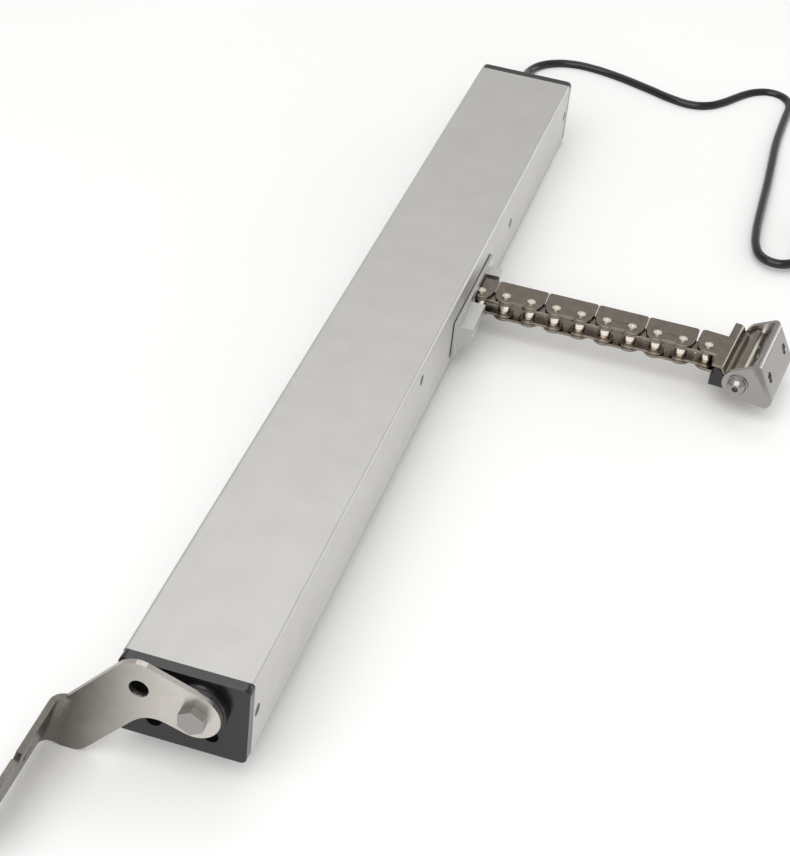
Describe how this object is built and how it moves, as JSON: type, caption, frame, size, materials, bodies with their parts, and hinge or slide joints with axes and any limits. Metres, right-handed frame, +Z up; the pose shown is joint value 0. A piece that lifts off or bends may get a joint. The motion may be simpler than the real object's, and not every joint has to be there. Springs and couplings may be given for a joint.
{
  "type": "gate opener arm",
  "caption": "Electric push-chain opener: aluminium tube with end caps, side chain outlet, one-way-bending link chain, tilting end bracket, swinging foot arm and power lead.",
  "frame": {"origin": "centre of the tube's underside, where the housing rests", "axes": "+X along the tube from the arm end to the cable end, the chain leaves towards -Y, +Z up"},
  "size_m": [0.7117, 0.3015, 0.0542],
  "materials": {
    "anodised_aluminium": "satin clear anodised",
    "milled_aluminium": "milled, lightly brushed",
    "black_plastic": "moulded, fine grain",
    "stainless_steel": "tumbled",
    "nickel_steel": "nickel plated, semi-bright",
    "dark_steel": "oiled black",
    "zinc_steel": "zinc plated",
    "brass": "turned",
    "natural_nylon": "moulded",
    "board_green": "lacquered board",
    "cord_pvc": "extruded PVC, semi-gloss"
  },
  "bodies": {
    "housing": {"housing_tube": "anodised_aluminium", "near_cap": "black_plastic", "far_cap": "black_plastic", "cap_screws": "dark_steel", "chassis_screws": "dark_steel", "bolt_inserts": "brass", "pivot_bolt": "stainless_steel", "spacer_washer": "black_plastic", "chain_guide": "milled_aluminium", "guide_screws": "dark_steel", "chassis": "zinc_steel", "chain_rail": "natural_nylon", "bearing_bridge": "zinc_steel", "shaft_bushes": "brass", "gearbox_case": "zinc_steel", "motor_can": "zinc_steel", "motor_end_bell": "black_plastic", "motor_saddle": "milled_aluminium", "circuit_board": "board_green", "limit_switches": "black_plastic", "cable_gland": "cord_pvc", "cord_run": "cord_pvc", "cord_coil": "cord_pvc", "connector": "natural_nylon", "connector_contacts": "brass"},
    "drive": {"drive_shaft": "dark_steel", "sprocket": "dark_steel", "worm_wheel": "brass"},
    "worm": {"worm_shaft": "dark_steel"},
    "stored_chain": {"stored_plates": "nickel_steel", "stored_pins": "nickel_steel", "stored_bushes": "nickel_steel"},
    "chain_root": {"run_plates": "nickel_steel", "run_pins": "nickel_steel", "run_bushes": "nickel_steel"},
    "link_1": {"link_1_plates": "nickel_steel", "link_1_pins": "nickel_steel"},
    "link_2": {"link_2_plates": "nickel_steel", "link_2_bushes": "nickel_steel"},
    "link_3": {"link_3_plates": "nickel_steel", "link_3_pins": "nickel_steel"},
    "link_4": {"link_4_plates": "nickel_steel", "link_4_bushes": "nickel_steel"},
    "link_5": {"link_5_plates": "nickel_steel", "link_5_pins": "nickel_steel"},
    "link_6": {"link_6_plates": "nickel_steel", "link_6_bushes": "nickel_steel"},
    "link_7": {"link_7_plates": "nickel_steel", "link_7_pins": "nickel_steel"},
    "link_8": {"link_8_plates": "nickel_steel", "link_8_bushes": "nickel_steel"},
    "end_fitting": {"end_plates": "nickel_steel", "end_pin": "nickel_steel", "end_block": "black_plastic", "hinge_barrel": "nickel_steel", "bracket_screws": "stainless_steel"},
    "window_bracket": {"window_bracket": "stainless_steel"},
    "mounting_arm": {"mounting_arm": "stainless_steel"}
  },
  "joints": [
    {"name": "chain_travel", "type": "slide", "parent": "housing", "child": "chain_root", "axis": [0, -1, 0], "range_m": [-0.02, 0.02]},
    {"name": "stored_travel", "type": "slide", "parent": "housing", "child": "stored_chain", "axis": [1, 0, 0], "range_m": [-0.02, 0.02]},
    {"name": "sprocket_spin", "type": "hinge", "parent": "housing", "child": "drive", "pos_m": [0.0463, -0.0041, 0.014], "axis": [0, 0, 1], "range_deg": [-95, 95]},
    {"name": "worm_spin", "type": "hinge", "parent": "housing", "child": "worm", "pos_m": [0.0463, 0.0126, 0.0275], "axis": [1, 0, 0], "range_deg": [-1810, 1810]},
    {"name": "curl_1", "type": "hinge", "parent": "chain_root", "child": "link_1", "pos_m": [0.059, -0.0422, 0.014], "axis": [0, 0, -1], "range_deg": [0, 15]},
    {"name": "curl_2", "type": "hinge", "parent": "link_1", "child": "link_2", "pos_m": [0.059, -0.0549, 0.014], "axis": [0, 0, -1], "range_deg": [0, 15]},
    {"name": "curl_3", "type": "hinge", "parent": "link_2", "child": "link_3", "pos_m": [0.059, -0.0676, 0.014], "axis": [0, 0, -1], "range_deg": [0, 15]},
    {"name": "curl_4", "type": "hinge", "parent": "link_3", "child": "link_4", "pos_m": [0.059, -0.0803, 0.014], "axis": [0, 0, -1], "range_deg": [0, 15]},
    {"name": "curl_5", "type": "hinge", "parent": "link_4", "child": "link_5", "pos_m": [0.059, -0.093, 0.014], "axis": [0, 0, -1], "range_deg": [0, 15]},
    {"name": "curl_6", "type": "hinge", "parent": "link_5", "child": "link_6", "pos_m": [0.059, -0.1057, 0.014], "axis": [0, 0, -1], "range_deg": [0, 15]},
    {"name": "curl_7", "type": "hinge", "parent": "link_6", "child": "link_7", "pos_m": [0.059, -0.1184, 0.014], "axis": [0, 0, -1], "range_deg": [0, 15]},
    {"name": "curl_8", "type": "hinge", "parent": "link_7", "child": "link_8", "pos_m": [0.059, -0.1311, 0.014], "axis": [0, 0, -1], "range_deg": [0, 15]},
    {"name": "curl_9", "type": "hinge", "parent": "link_8", "child": "end_fitting", "pos_m": [0.059, -0.1438, 0.014], "axis": [0, 0, -1], "range_deg": [-5.4, 9.5]},
    {"name": "bracket_tilt", "type": "hinge", "parent": "end_fitting", "child": "window_bracket", "pos_m": [0.06339, -0.16391, 0.014], "axis": [0.9954, -0.0958, 0], "range_deg": [-60, 90]},
    {"name": "arm_swing", "type": "hinge", "parent": "housing", "child": "mounting_arm", "pos_m": [-0.27, -0.0068, 0.024], "axis": [1, 0, 0], "range_deg": [-45, 90]}
  ],
  "couplings": [
    {"joint": "stored_travel", "follows": "chain_travel", "ratio": 1},
    {"joint": "sprocket_spin", "follows": "chain_travel", "rad_per_m": -82.457},
    {"joint": "worm_spin", "follows": "chain_travel", "rad_per_m": -1566.7}
  ]
}
